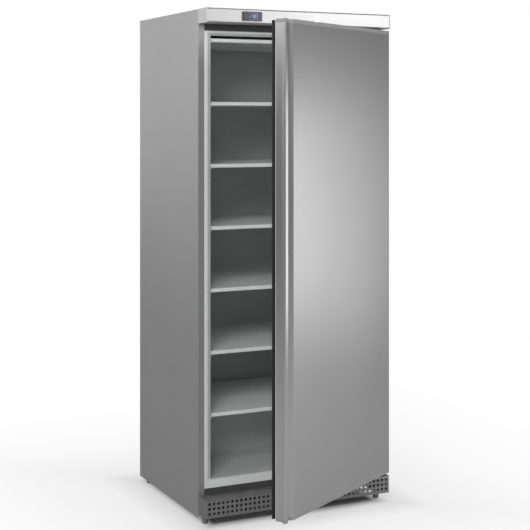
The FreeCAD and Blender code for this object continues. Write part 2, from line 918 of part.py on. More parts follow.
def make_bushes():
    """Six-sided nylon bushes held in the door's ends, which turn on the two pins."""
    bore = circle(0, 0, s.hinge_pin_radius + s.running_gap)
    flange = regular(0, 0, s.bush_flange_radius, 6)
    sleeve = regular(0, 0, s.bush_radius, 6)
    lower = new_body("hinge_bush_bottom")
    add_slab(lower, "XY", s.plinth_top + s.hinge_plate + s.seat_gap, door_bottom, flange, bore)
    add_slab(lower, "XY", door_bottom, door_bottom + s.bush_depth, sleeve, bore)
    upper = new_body("hinge_bush_top")
    add_slab(upper, "XY", door_top, door_top + s.bush_flange, flange, bore)
    add_slab(upper, "XY", door_top - s.bush_depth, door_top, sleeve, bore)
    return [hang(lower), hang(upper)]


def handle_outline():
    """Plan view of the handle: side face, round nose, bar and slanted finger groove."""
    nose_back = door_front_y + s.handle_nose_length
    bar_right = door_left_x + s.handle_bar_width
    groove_y = door_front_y + s.handle_groove_depth
    groove_left = bar_right + s.handle_groove_lean
    bevel = s.handle_bevel
    return [
        (side_face_x, panel_front_y),
        (side_face_x, nose_back),
        (door_left_x, nose_back - s.handle_nose_slope),
        (door_left_x, door_front_y + bevel),
        (door_left_x + bevel, door_front_y),
        (bar_right - s.handle_edge, door_front_y),
        (bar_right, door_front_y + bevel),
        (groove_left, groove_y),
        (groove_left + s.handle_groove_floor, groove_y),
        (skin_left_x - s.handle_edge, door_front_y),
        (skin_left_x, door_front_y),
        (skin_left_x, panel_front_y),
    ]


def round_nose(body):
    """Round the handle's nose and the floor of its groove, as the drawn profile has them."""
    outline = handle_outline()
    round_edges(body, s.handle_nose_round, edges_along(body.Tip, "z", outline[2]))
    edges = edges_along(body.Tip, "z", outline[3], outline[4], outline[7], outline[8])
    round_edges(body, s.handle_edge_round, edges)


def make_handle():
    body = new_body("door_handle")
    add_slab(body, "XY", skin_bottom, skin_upper, handle_outline())
    round_nose(body)
    return hang(body)


def make_door_trim(name, low, high):
    """An end cap over the whole width of the door, with the handle's outline at its left."""
    outline = handle_outline()[:-2] + [
        (door_right_x, door_front_y),
        (door_right_x, panel_front_y),
    ]
    body = new_body(name)
    add_slab(body, "XY", low, high, outline)
    round_nose(body)
    bend = edges_along(body.Tip, "z", (door_right_x, door_front_y))
    round_edges(body, s.door_bend, bend)
    return body


def make_door_trims():
    lower = make_door_trim("door_trim_bottom", door_bottom, skin_bottom)
    hole = regular(0, 0, s.bush_radius, 6)
    cut_slab(lower, "XY", door_bottom, door_bottom + s.bush_depth, hole)
    upper = make_door_trim("door_trim_top", skin_upper, door_top)
    cut_slab(upper, "XY", door_top - s.bush_depth, door_top, hole)
    cut_slab(upper, "XY", door_top - s.lock_slot_depth, door_top,
             cam_slot(s.lock_offset - hinge_x, cam_middle - hinge_y))
    return [hang(lower), hang(upper)]


def make_door_skin():
    """The outer sheet: front, rounded right edge, right side and a turned-in return."""
    wall = s.skin_wall
    lip = door_right_x - s.side_lip
    body = new_body("door_skin")
    add_slab(body, "XY", skin_bottom, skin_upper, [
        (skin_left_x, door_front_y),
        (door_right_x, door_front_y),
        (door_right_x, panel_front_y),
        (lip, panel_front_y),
        (lip, panel_front_y - wall),
        (door_right_x - wall, panel_front_y - wall),
        (door_right_x - wall, door_front_y + wall),
        (skin_left_x, door_front_y + wall),
    ])
    round_edges(body, s.door_bend, edges_along(body.Tip, "z", (door_right_x, door_front_y)))
    round_edges(body, s.door_bend - wall,
                edges_along(body.Tip, "z", (door_right_x - wall, door_front_y + wall)))
    return hang(body)


def panel_bulge(shrink):
    """Front view of the inner panel's raised field."""
    inset = s.door_panel_inset + shrink
    return rectangle((side_face_x + inset, door_bottom + inset),
                     (door_right_x - s.handle_side_inset - inset, door_top - inset))


def make_door_foam():
    wall = s.skin_wall
    body = new_body("door_foam")
    core = add_slab(body, "XZ", door_front_y + wall, panel_front_y - wall,
                    rectangle((skin_left_x, skin_bottom), (door_right_x - wall, skin_upper)))
    bend = edges_along(core, "z", (door_right_x - wall, door_front_y + wall))
    round_edges(body, s.door_bend - wall, bend)
    add_slab(body, "XZ", panel_front_y - wall, panel_front_y,
             rectangle((skin_left_x, skin_bottom), (door_right_x - s.side_lip, skin_upper)))
    add_slab(body, "XZ", panel_front_y, door_back_y + s.door_panel_bulge - s.door_panel_wall,
             panel_bulge(s.door_panel_wall), taper=s.door_panel_slope)
    return hang(body)


def make_door_inner_panel():
    """The door's back: a flat rim with a raised field that has sloping sides."""
    body = new_body("door_inner_panel")
    add_slab(body, "XZ", panel_front_y, door_back_y,
             rectangle((side_face_x, door_bottom), (door_right_x, door_top)))
    add_slab(body, "XZ", door_back_y, door_back_y + s.door_panel_bulge,
             panel_bulge(0), taper=s.door_panel_slope)
    # The hollow behind the raised field is as deep as the foam that fills it.
    before = body.Shape.Volume
    sketch = new_sketch(body, "XZ", panel_front_y, [panel_bulge(s.door_panel_wall)])
    hollow = body.newObject("PartDesign::Pocket", "door_inner_panel_hollow")
    hollow.Profile = sketch
    bind(hollow, "Length", s.door_panel_bulge)
    bind(hollow, "TaperAngle", -s.door_panel_slope)
    doc.recompute()
    if not body.Shape.Volume < before:
        raise RuntimeError("the inner panel's hollow cuts nothing")
    return hang(body)


def make_gasket():
    """The seal: a base in the panel's groove, a narrow neck and a wide magnet head."""
    contact = cabinet_front - s.gasket_contact_gap - hinge_y
    left = side_face_x + s.gasket_inset
    # At the hinge the seal keeps closer in, so that its corner swings clear of the frame.
    right = door_right_x - s.handle_side_inset - s.gasket_hinge_inset
    low = door_bottom + s.gasket_inset
    high = door_top - s.gasket_inset

    def ring(inset):
        return rectangle((left + inset, low + inset), (right - inset, high - inset))

    body = new_body("door_gasket")
    neck = door_back_y + s.gasket_base
    head = neck + s.gasket_neck
    for y_low, y_high, inset in ((door_back_y, neck, s.gasket_base_inset),
                                 (neck, head, s.gasket_neck_inset), (head, contact, 0)):
        add_slab(body, "XZ", y_low, y_high, ring(inset), ring(s.gasket_width - inset))
    return hang(body)


# -------------------------------------------------------------- plinth, rails and feet

def make_plinth_grille():
    """The plinth: a sheet box open below and behind, with rows of six-sided air holes."""
    body = new_body("plinth_grille")
    box = add_slab(body, "XZ", plinth_front, cabinet_front,
                   rectangle((-half_width, s.plinth_bottom), (half_width, s.plinth_top)))
    bends = edges_along(box, "z", (-half_width, plinth_front), (half_width, plinth_front))
    bends += edges_along(box, "x", (plinth_front, s.plinth_top))
    rounded = round_edges(body, s.plinth_bend, bends)
    rear = cabinet_front.value
    floor = s.plinth_bottom.value
    hollow_out(body, s.plinth_wall,
               face_names(rounded, lambda box: box.YMin > rear - 0.01 or box.ZMax < floor + 0.01))
    screw_y = (plinth_front + cabinet_front) / 2
    screw_hole = s.ledge_screw_radius + s.running_gap
    cut_slab(body, "XY", s.plinth_top - 2 * s.plinth_wall, s.plinth_top,
             regular(-s.ledge_screw_side, screw_y, screw_hole, 8),
             regular(s.ledge_screw_side, screw_y, screw_hole, 8))
    columns = int((s.cabinet_width - 2 * s.grille_side_margin).value / s.grille_pitch.value) + 1
    first_x = -s.grille_pitch * ((columns - 1) / 2)
    column = [regular(first_x, s.plinth_bottom + s.grille_lowest_row + s.grille_row_pitch * row,
                      s.grille_hole_radius, 6) for row in range(GRILLE_ROWS)]
    holes = cut_slab(body, "XZ", plinth_front, plinth_front + 2 * s.plinth_wall, *column)
    before = body.Shape.Volume
    row = body.newObject("PartDesign::LinearPattern", "plinth_grille_holes")
    row.Originals = [holes]
    row.Direction = (origin_part(body, "X_Axis"), [""])
    row.Mode = "Spacing"
    bind(row, "Offset", s.grille_pitch)
    row.Occurrences = columns
    body.Tip = row
    doc.recompute()
    if not body.Shape.Volume < before:
        raise RuntimeError("the grille's hole pattern cuts nothing")
    return body


def make_ledge_screws():
    y = (plinth_front + cabinet_front) / 2
    screws = []
    for side, x in (("left", -s.ledge_screw_side), ("right", s.ledge_screw_side)):
        head = prism(f"ledge_screw_head_{side}", (x, y, s.plinth_top),
                     s.ledge_screw_head, s.ledge_screw_head_radius, 8)
        shank = prism(f"ledge_screw_shank_{side}", (x, y, s.plinth_top - s.ledge_screw_length),
                      s.ledge_screw_length, s.ledge_screw_radius, 8)
        screws.append(fused(f"ledge_screw_{side}", [head, shank]))
    return grouped("grille_screws", screws)


def make_base_rail(name, side):
    """A steel channel under the cabinet's side, from the plinth to the back."""
    outer = rail_outer * side
    inner = (rail_outer - s.rail_width) * side
    web = (rail_outer - s.rail_wall) * side
    low = s.plinth_bottom
    high = base_bottom
    body = new_body(name)
    add_slab(body, "XZ", plinth_front + s.plinth_bend + s.rail_gap, cover_front - s.rail_gap, [
        (outer, low), (inner, low), (inner, low + s.rail_wall), (web, low + s.rail_wall),
        (web, high - s.rail_wall), (inner, high - s.rail_wall), (inner, high), (outer, high),
    ])
    nut = s.foot_stud_radius + s.running_gap
    cut_slab(body, "XY", low, low + s.rail_wall, regular(foot_x * side, foot_front_y, nut, 6),
             regular(foot_x * side, foot_rear_y, nut, 6))
    return body


def make_feet():
    """Levelling feet: a cup and a hexagon under a stud that is up in the rail."""
    feet = []
    for row, y in (("front", foot_front_y), ("rear", foot_rear_y)):
        for side, x in (("left", -foot_x), ("right", foot_x)):
            foot = new_body(f"foot_{row}_{side}")
            add_slab(foot, "XY", 0, s.foot_sole, regular(x, y, s.foot_sole_radius, 16))
            add_slab(foot, "XY", s.foot_sole, s.foot_height, regular(x, y, s.foot_radius, 16))
            add_slab(foot, "XY", s.foot_height, s.foot_neck_height, regular(x, y, s.foot_neck_radius, 6))
            add_slab(foot, "XY", s.foot_neck_height, s.foot_stud_top, circle(x, y, s.foot_stud_radius))
            feet.append(foot)
    return feet


# ------------------------------------------------------------------ evaporator shelves

half_shelf = half_interior - s.shelf_side_gap
shelf_front = cabinet_front + s.shelf_setback
shelf_rear = interior_rear - s.shelf_rear_gap
plate_rear = shelf_rear - s.shelf_plate


def channel_outline():
    """Plan view of the refrigerant channel: level runs, joined at the left and right by turns."""
    rim = s.channel_width / 2
    end = half_shelf - s.channel_margin
    first = plate_rear - s.channel_margin
    levels = [first - s.channel_pitch * number for number in range(CHANNEL_PASSES)]
    outer = [(end, levels[0] + rim)]
    inner = [(end, levels[0] - rim)]
    for number in range(0, CHANNEL_PASSES, 2):
        here, following = levels[number], levels[number + 1]
        outer += [(-end - rim, here + rim), (-end - rim, following - rim)]
        inner += [(-end + rim, here - rim), (-end + rim, following + rim)]
        if number + 2 < CHANNEL_PASSES:
            outer += [(end - rim, following - rim), (end - rim, levels[number + 2] + rim)]
            inner += [(end + rim, following + rim), (end + rim, levels[number + 2] - rim)]
    outer.append((end, levels[-1] - rim))
    inner.append((end, levels[-1] + rim))
    return outer + inner[::-1]


def make_shelf(name, top):
    """A plate evaporator: sheet shelf, deep front edge and a channel pressed up from below."""
    plate_low = top - s.shelf_plate
    front_low = top - s.shelf_front_height
    front_rear = shelf_front + s.shelf_front_depth
    body = new_body(name)
    add_slab(body, "YZ", -half_shelf, half_shelf, [
        (shelf_front, front_low), (shelf_front, top), (shelf_rear, top),
        (shelf_rear, front_low), (plate_rear, front_low),
        (plate_rear, plate_low), (front_rear, plate_low), (front_rear, front_low),
    ])
    round_edges(body, s.shelf_front_round,
                edges_along(body.Tip, "x", (shelf_front, top), (shelf_front, front_low)))
    add_slab(body, "XY", plate_low - s.channel_height, plate_low, channel_outline())
    return body


def shelf_level(number):
    """Top of a shelf: all stand at one pitch, and the topmost is lifted a little."""
    highest = interior_ceiling - s.ceiling_shelf_gap - s.ceiling_shelf_lift
    if number == SHELF_COUNT - 1:
        return highest + s.ceiling_shelf_lift
    return s.lowest_shelf_top + (highest - s.lowest_shelf_top) * (number / (SHELF_COUNT - 1))


def make_shelves():
    return [make_shelf(f"evaporator_shelf_{number + 1}", shelf_level(number))
            for number in range(SHELF_COUNT)]


def make_shelf_rails():
    """Ledges on the liner's side walls, one under each end of every shelf."""
    rails = []
    for number in range(SHELF_COUNT):
        top = shelf_level(number) - s.shelf_front_height
        for side, wall, edge in (("left", -half_interior, -half_interior + s.ledge_width),
                                 ("right", half_interior - s.ledge_width, half_interior)):
            rails.append(block(f"shelf_rail_{number}_{side}", (wall, shelf_front, top - s.ledge_height),
                               (edge, shelf_rear, top)))
    return grouped("shelf_rails", rails)


def make_suction_riser():
    """The pipe up the rear corner, with a branch to the rear edge of every shelf."""
    x = -half_interior + s.riser_side_gap
    y = interior_rear - s.riser_rear_gap
    levels = [shelf_level(number) - s.shelf_front_height / 2 for number in range(SHELF_COUNT)]
    half = s.riser_radius + s.riser_joint_rim
    tail = levels[0] - s.riser_tail
    pieces = [prism("riser_pipe", (x, y, tail), levels[-1] + half - tail, s.riser_radius, 8)]
    for number, level in enumerate(levels):
        pieces.append(block(f"riser_joint_{number}", (x - half, shelf_rear, level - half),
                            (x + half, y + half, level + half)))
    outlet = levels[0] - s.riser_outlet_drop
    pieces.append(block("riser_outlet", (x - half, y - half, outlet - half),
                        (x + half, interior_rear, outlet + half)))
    return fused("suction_riser", pieces)


def make_probe():
    """The temperature probe in its clip, on the right-hand wall."""
    wall = half_interior
    y = interior_rear - s.probe_rear_gap
    level = interior_ceiling - s.probe_drop
    reach = 2 * (s.probe_radius + s.probe_clip_rim)
    half = s.probe_clip_size / 2
    clip = block("probe_clip", (wall - reach, y - half, level - half), (wall, y + half, level + half))
    stem = prism("probe_stem", (wall - reach / 2, y, level - s.probe_length / 2), s.probe_length,
                 s.probe_radius, 8)
    return fused("temperature_probe", [clip, stem])


# ----------------------------------------------------------------- machine compartment

tray_low = s.plinth_bottom + s.rail_wall
tray_top = tray_low + s.tray_wall
machine_middle_y = (machine_front + back) / 2
pot_low = tray_top + s.mount_height
pot_top = pot_low + s.pot_height
cover_back = back - s.skin_wall
cover_front = cover_back - s.cover_wall
cover_low = tray_low
cover_high = s.machine_top
inlet_x = half_width - s.inlet_side_gap
inlet_z = cover_low + s.cover_slot_start
condenser_low = tray_top + s.condenser_rise
condenser_right = s.condenser_left + s.condenser_width
condenser_front = machine_middle_y - s.condenser_depth / 2
condenser_back = machine_middle_y + s.condenser_depth / 2
fan_z = condenser_low + s.condenser_height / 2
shroud_right = s.condenser_left - s.shroud_condenser_gap
shroud_left = shroud_right - s.shroud_wall


def make_machine_tray():
    """The sheet that carries the compressor, resting on the rails' lower flanges."""
    half = rail_outer - s.rail_wall - s.rail_gap
    body = new_body("machine_tray")
    near = machine_front + s.tray_front_gap
    far = cover_front - s.rail_gap
    notch = foot_rear_y - s.foot_stud_radius - s.foot_clearance
    notch_end = foot_x - s.foot_stud_radius - s.foot_clearance
    add_slab(body, "XY", tray_low, tray_top, [
        (-half, near), (half, near), (half, notch), (notch_end, notch), (notch_end, far),
        (-notch_end, far), (-notch_end, notch), (-half, notch),
    ])
    return body


def make_compressor():
    """A welded pot on a foot plate, standing on four rubber mounts."""
    body = new_body("compressor")
    add_slab(body, "XY", pot_low, pot_top - s.pot_step, regular(0, 0, s.pot_radius, 24))
    add_slab(body, "XY", pot_top - s.pot_step, pot_top, regular(0, 0, s.pot_lid_radius, 24))
    half_plate = s.pot_radius + s.pot_plate_rim
    half_depth = s.pot_plate_depth / 2
    add_slab(body, "XY", pot_low, pot_low + s.pot_plate_wall,
             rectangle((-half_plate, -half_depth), (half_plate, half_depth)))
    put(body, -s.pot_offset, machine_middle_y, 0)
    mounts = []
    for i in (-1, 1):
        for k in (-1, 1):
            spot = ((half_plate - s.mount_radius) * i - s.pot_offset,
                    machine_middle_y + (half_depth - s.mount_radius) * k, tray_top)
            mounts.append(prism(f"mount_{i + 1}_{k + 1}", spot, s.mount_height, s.mount_radius, 8))
    return [body, grouped("compressor_mounts", mounts)]


def make_condenser():
    """Flat tubes one above the other, between two upright headers, on a foot."""
    middle = s.condenser_left + s.condenser_width / 2
    low = condenser_low
    header = s.header_radius
    pieces = [block("condenser_foot", (s.condenser_left, condenser_front, tray_top),
                    (condenser_right, condenser_back, low))]
    for number, y in enumerate((condenser_front + header, condenser_back - header)):
        pieces.append(prism(f"header_{number}", (middle, y, low), s.condenser_height, header, 8))
    for number in range(CONDENSER_TUBES):
        z = low + s.condenser_height * ((number + 0.5) / CONDENSER_TUBES)
        pieces.append(block(f"flat_tube_{number}",
                            (s.condenser_left, condenser_front + header, z - s.flat_tube / 2),
                            (condenser_right, condenser_back - header, z + s.flat_tube / 2)))
    return fused("condenser", pieces)


def make_fan():
    """The fan that draws air through the condenser: shroud, motor and rotor."""
    y = machine_middle_y
    rim = s.shroud_rim
    half = s.fan_radius + s.fan_tip_gap + rim
    motor_face = shroud_left - s.shroud_gap
    case = motor_face - s.shroud_bar
    shroud = new_body("fan_shroud")
    add_slab(shroud, "YZ", shroud_left, shroud_right,
             rectangle((y - half, tray_top), (y + half, fan_z + half)),
             regular(y, fan_z, s.fan_radius + s.fan_tip_gap, 24))
    arms = [centred(y + (half - rim / 2) * side, fan_z, rim, s.shroud_arm_height) for side in (-1, 1)]
    add_slab(shroud, "YZ", motor_face, shroud_left, *arms)
    add_slab(shroud, "YZ", case, motor_face, centred(y, fan_z, 2 * half, s.shroud_arm_height))
    cut_slab(shroud, "YZ", case, motor_face, regular(y, fan_z, s.shroud_bar_hole, 8))

    motor = new_body("fan_motor")
    motor_rear = case - s.fan_motor_length
    add_slab(motor, "YZ", motor_rear, case, centred(y, fan_z, s.fan_motor_width, s.fan_motor_width))
    half_coil = s.fan_coil_height / 2
    add_slab(motor, "YZ", motor_rear + s.fan_coil_inset, case - s.fan_coil_inset,
             rectangle((y - s.fan_coil_left, fan_z - half_coil), (y + s.fan_coil_right, fan_z + half_coil)))
    shaft_left = case - s.fan_shaft_seat
    cut_slab(motor, "YZ", shaft_left - s.seat_gap, case,
             circle(y, fan_z, s.fan_shaft_radius + s.running_gap))

    hub_left = shroud_left - s.fan_hub_length
    pieces = [
        rod("fan_shaft", "x", (shaft_left, y, fan_z), shroud_left - shaft_left, s.fan_shaft_radius),
        block("fan_hub", (hub_left, y - s.fan_hub_radius, fan_z - s.fan_hub_radius),
              (shroud_left, y + s.fan_hub_radius, fan_z + s.fan_hub_radius)),
    ]
    middle = hub_left + s.fan_hub_length / 2
    root = s.fan_hub_radius - s.fan_blade_root
    for number in range(FAN_BLADES):
        blade = doc.addObject("Part::Box", f"fan_blade_{number}")
        bind(blade, "Length", s.fan_blade_wall)
        bind(blade, "Width", s.fan_blade_chord)
        bind(blade, "Height", s.fan_radius - root)
        pitch = Rotation(Vector(0, 0, 1), s.fan_blade_pitch.value)
        spin = Rotation(Vector(1, 0, 0), 360 / FAN_BLADES * (number + 0.5))
        corner = Vector(-s.fan_blade_wall.value / 2, -s.fan_blade_chord.value / 2, root.value)
        turned = spin * pitch
        offset = turned.multVec(corner)
        blade.Placement = Placement(Vector(), turned)
        put(blade, middle + offset.x, y + offset.y, fan_z + offset.z)
        pieces.append(blade)
    return [shroud, motor, fused("fan_rotor", pieces)]


def make_drip_tray():
    """The pan over the compressor, where defrost water dries off."""
    half = s.drip_tray_width / 2
    wall = s.drip_tray_wall
    x = -s.pot_offset
    y = machine_middle_y
    body = new_body("evaporation_tray")
    add_slab(body, "XY", pot_top, pot_top + s.drip_tray_height, centred(x, y, 2 * half, 2 * half))
    cut_slab(body, "XY", pot_top + wall, pot_top + s.drip_tray_height,
             centred(x, y, 2 * (half - wall), 2 * (half - wall)))
    return body


def make_rear_cover():
    """The louvred sheet over the machine compartment, with a window for the inlet."""
    half = half_width - s.skin_wall - s.rail_gap
    body = new_body("machine_cover")
    add_slab(body, "XZ", cover_front, cover_back, rectangle((-half, cover_low), (half, cover_high)))
    slots = []
    for side in (-1, 1):
        for number in range(COVER_SLOT_ROWS):
            z = cover_low + s.cover_slot_start + s.cover_slot_pitch * number
            slots.append(centred(s.cover_slot_offset * side, z, s.cover_slot_width, s.cover_slot_height))
    cut_slab(body, "XZ", cover_front, cover_back, *slots)
    cut_slab(body, "XZ", cover_front, cover_back,
             centred(inlet_x, inlet_z, s.inlet_width, s.inlet_height))
    return body


def make_cable_inlet():
    """The socket where a supply lead plugs in: a rim and a deep recess."""
    recess_front = back - s.inlet_depth
    rim = 2 * s.inlet_rim
    wall = 2 * s.inlet_wall
    body = new_body("cable_inlet")
    add_slab(body, "XZ", recess_front - s.inlet_floor, cover_back,
             centred(inlet_x, inlet_z, s.inlet_width, s.inlet_height))
    add_slab(body, "XZ", cover_back, back,
             centred(inlet_x, inlet_z, s.inlet_width + rim, s.inlet_height + rim))
    cut_slab(body, "XZ", recess_front, back,
             centred(inlet_x, inlet_z, s.inlet_width - wall, s.inlet_height - wall))
    return body


# -------------------------------------------------------------------------- everything

nodes = [
    make_side_panel("side_panel_left", -1),
    make_side_panel("side_panel_right", 1),
    make_top_panel(),
    make_back_panel(),
    make_base_pan(),
    make_insulation(),
    make_inner_liner(),
    make_breaker_frame(),
    make_cross_member("cross_member_upper", doorway_top, skin_top),
    make_cross_member("cross_member_lower", s.plinth_top, doorway_bottom),
    make_fascia(),
    *make_controller(),
    *make_buttons(),
    *make_lock(),
    *make_hinges(),
    *make_bushes(),
    make_door_skin(),
    make_door_foam(),
    make_door_inner_panel(),
    make_gasket(),
    make_handle(),
    *make_door_trims(),
    make_plinth_grille(),
    make_ledge_screws(),
    make_base_rail("base_rail_left", -1),
    make_base_rail("base_rail_right", 1),
    *make_feet(),
    *make_shelves(),
    make_shelf_rails(),
    make_suction_riser(),
    make_probe(),
    make_machine_tray(),
    *make_compressor(),
    make_condenser(),
    *make_fan(),
    make_drip_tray(),
    make_rear_cover(),
    make_cable_inlet(),
]
doc.recompute()

for thing in doc.Objects:
    if "Invalid" in thing.State or "Error" in thing.State:
        raise RuntimeError(f"{thing.Label} did not recompute: {thing.State}")
for node in nodes:
    if node.Shape.isNull() or not node.Shape.isValid():
        raise RuntimeError(f"{node.Label} has no valid shape")

os.makedirs("parts", exist_ok=True)
for node in nodes:
    node.Shape.exportStep(os.path.join("parts", f"{node.Label}.step"))
print(f"{len(nodes)} sub-parts written")
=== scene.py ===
import math

import bmesh
import bpy
from mathutils import Matrix, Vector


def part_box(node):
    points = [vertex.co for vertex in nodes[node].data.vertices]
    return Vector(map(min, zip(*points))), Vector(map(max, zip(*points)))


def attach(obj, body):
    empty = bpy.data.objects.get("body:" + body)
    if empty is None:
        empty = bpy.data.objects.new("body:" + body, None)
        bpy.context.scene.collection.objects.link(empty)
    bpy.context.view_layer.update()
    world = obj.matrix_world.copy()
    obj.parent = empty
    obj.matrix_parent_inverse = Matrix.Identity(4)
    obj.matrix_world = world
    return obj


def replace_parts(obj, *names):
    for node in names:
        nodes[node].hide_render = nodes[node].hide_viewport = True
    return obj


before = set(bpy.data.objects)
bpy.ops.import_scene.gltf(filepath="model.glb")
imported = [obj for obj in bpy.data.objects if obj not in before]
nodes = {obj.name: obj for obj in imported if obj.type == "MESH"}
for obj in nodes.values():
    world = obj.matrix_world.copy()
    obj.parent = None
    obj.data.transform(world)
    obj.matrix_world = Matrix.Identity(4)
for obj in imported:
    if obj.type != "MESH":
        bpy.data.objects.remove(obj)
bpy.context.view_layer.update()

# ------------------------------------------------------------------ materials

# Nearly all of a noise lies between these two values.
NOISE_LOW, NOISE_HIGH = 0.35, 0.65


class Nodes:
    """A small helper round one material's node tree. All textures are in object space."""

    def __init__(self, name):
        self.material = bpy.data.materials.new(name)
        self.material.use_nodes = True
        self.tree = self.material.node_tree
        self.tree.nodes.clear()
        self.shader = self.add("ShaderNodeBsdfPrincipled")
        self.surface = self.add("ShaderNodeOutputMaterial").inputs["Surface"]
        self.link(self.shader.outputs[0], self.surface)
        self.coords = self.add("ShaderNodeTexCoord").outputs["Object"]

    def add(self, kind, **settings):
        node = self.tree.nodes.new(kind)
        for key, value in settings.items():
            setattr(node, key, value)
        return node

    def link(self, source, target):
        self.tree.links.new(source, target)

    def set(self, **values):
        """Fixed values of the shader; an underscore stands for a space in an input's name."""
        for key, value in values.items():
            self.shader.inputs[key.replace("_", " ")].default_value = value

    def feed(self, source, input_name):
        self.link(source, self.shader.inputs[input_name])

    def scaled(self, scale):
        mapping = self.add("ShaderNodeMapping")
        mapping.inputs["Scale"].default_value = (scale,) * 3 if isinstance(scale, float) else scale
        self.link(self.coords, mapping.inputs["Vector"])
        return mapping.outputs["Vector"]

    def noise(self, scale, detail=3.0, rough=0.5):
        noise = self.add("ShaderNodeTexNoise")
        noise.inputs["Scale"].default_value = 1.0
        noise.inputs["Detail"].default_value = detail
        noise.inputs["Roughness"].default_value = rough
        self.link(self.scaled(scale), noise.inputs["Vector"])
        return noise.outputs["Fac"]

    def ramp(self, factor, stops):
        ramp = self.add("ShaderNodeValToRGB")
        elements = ramp.color_ramp.elements
        while len(elements) < len(stops):
            elements.new(0.5)
        for element, (place, colour) in zip(elements, stops):
            element.position = place
            element.color = (*colour, 1.0)
        self.link(factor, ramp.inputs["Fac"])
        return ramp.outputs["Color"]

    def blotches(self, noise, low, high):
        """Two colours that a noise blends."""
        return self.ramp(noise, [(NOISE_LOW, low), (NOISE_HIGH, high)])

    def map_range(self, value, mode="LINEAR", **limits):
        """A value moved to another range; an underscore stands for a space in a limit's name."""
        span = self.add("ShaderNodeMapRange", interpolation_type=mode)
        for key, limit in limits.items():
            span.inputs[key.replace("_", " ")].default_value = limit
        self.link(value, span.inputs["Value"])
        return span.outputs["Result"]

    def axes(self):
        """The X, Y and Z of a point in the object frame."""
        parts = self.add("ShaderNodeSeparateXYZ")
        self.link(self.coords, parts.inputs["Vector"])
        return parts.outputs

    def multiplied(self, first, second):
        """The product of two colours."""
        mix = self.add("ShaderNodeMix", data_type="RGBA", blend_type="MULTIPLY")
        mix.inputs["Factor"].default_value = 1.0
        for name, source in (("A", first), ("B", second)):
            self.link(source, next(i for i in mix.inputs if i.name == name and i.type == "RGBA"))
        return next(o for o in mix.outputs if o.type == "RGBA")

    def math(self, operation, first, second=None):
        node = self.add("ShaderNodeMath", operation=operation)
        for socket, value in zip(node.inputs, (first, second)):
            if isinstance(value, (int, float)):
                socket.default_value = value
            elif value is not None:
                self.link(value, socket)
        return node.outputs[0]

    def bump(self, factor, strength, distance):
        bump = self.add("ShaderNodeBump")
        bump.inputs["Strength"].default_value = strength
        bump.inputs["Distance"].default_value = distance
        self.link(factor, bump.inputs["Height"])
        self.feed(bump.outputs["Normal"], "Normal")


def grey(value):
    return (value, value, value)


def scaled_colour(colour, factor):
    return tuple(min(1.0, c * factor) for c in colour)


def brushed_metal(name, colour, grain, rough, metallic, contrast=0.035):
    """Brushed sheet: fine streaks along one direction, in colour, roughness and bump."""
    n = Nodes(name)
    streaks = n.noise(grain, 4.0, 0.6)
    cloud = n.noise((1.6, 1.6, 1.1), 2.0)
    base = n.ramp(streaks, [(0.3, scaled_colour(colour, 1 - contrast)),
                            (0.7, scaled_colour(colour, 1 + contrast))])
    shade = n.blotches(cloud, grey(0.94), grey(1.0))
    n.feed(n.multiplied(base, shade), "Base Color")
    n.feed(n.map_range(streaks, To_Min=rough[0], To_Max=rough[1]), "Roughness")
    n.bump(streaks, 0.03, 0.0002)
    n.set(Metallic=metallic)
    return n.material


def plastic(name, colour, rough=0.4, texture=700.0, strength=0.08, coat=0.0, spread=0.05):
    """Moulded plastic: a faint mottle and a fine eroded texture."""
    n = Nodes(name)
    fine = n.noise(texture, 2.0)
    mottle = n.noise(9.0, 2.0)
    n.feed(n.blotches(mottle, scaled_colour(colour, 1 - spread), colour), "Base Color")
    n.feed(n.map_range(fine, To_Min=rough - 0.05, To_Max=rough + 0.08), "Roughness")
    n.bump(fine, strength, 0.0003)
    n.set(Coat_Weight=coat, Coat_Roughness=0.12)
    return n.material


def galvanised(name, colour):
    """Zinc-coated sheet with its soft spangle."""
    n = Nodes(name)
    cells = n.add("ShaderNodeTexVoronoi")
    cells.inputs["Scale"].default_value = 1.0
    n.link(n.scaled(60.0), cells.inputs["Vector"])
    tone = n.add("ShaderNodeSeparateColor")
    n.link(cells.outputs["Color"], tone.inputs["Color"])
    n.feed(n.ramp(tone.outputs[0], [(0.0, scaled_colour(colour, 0.86)), (1.0, colour)]), "Base Color")
    n.feed(n.map_range(tone.outputs[1], To_Min=0.38, To_Max=0.55), "Roughness")
    n.bump(n.noise(220.0), 0.05, 0.0003)
    n.set(Metallic=0.85)
    return n.material


def coated(name, colour, rough, peel=0.12):
    """Powder coat or enamel with a slight orange peel."""
    n = Nodes(name)
    skin = n.noise(420.0, 2.0)
    cloud = n.noise(5.0, 2.0)
    n.feed(n.blotches(cloud, scaled_colour(colour, 0.95), colour), "Base Color")
    n.feed(n.map_range(skin, To_Min=rough - 0.04, To_Max=rough + 0.06), "Roughness")
    n.bump(skin, peel, 0.0003)
    return n.material


def glowing(name, colour, strength):
    """A lit display element."""
    n = Nodes(name)
    n.feed(n.ramp(n.noise(300.0), [(0.3, scaled_colour(colour, 0.8)), (0.7, colour)]), "Emission Color")
    n.set(Base_Color=(0.02, 0.03, 0.05, 1.0), Emission_Strength=strength)
    return n.material


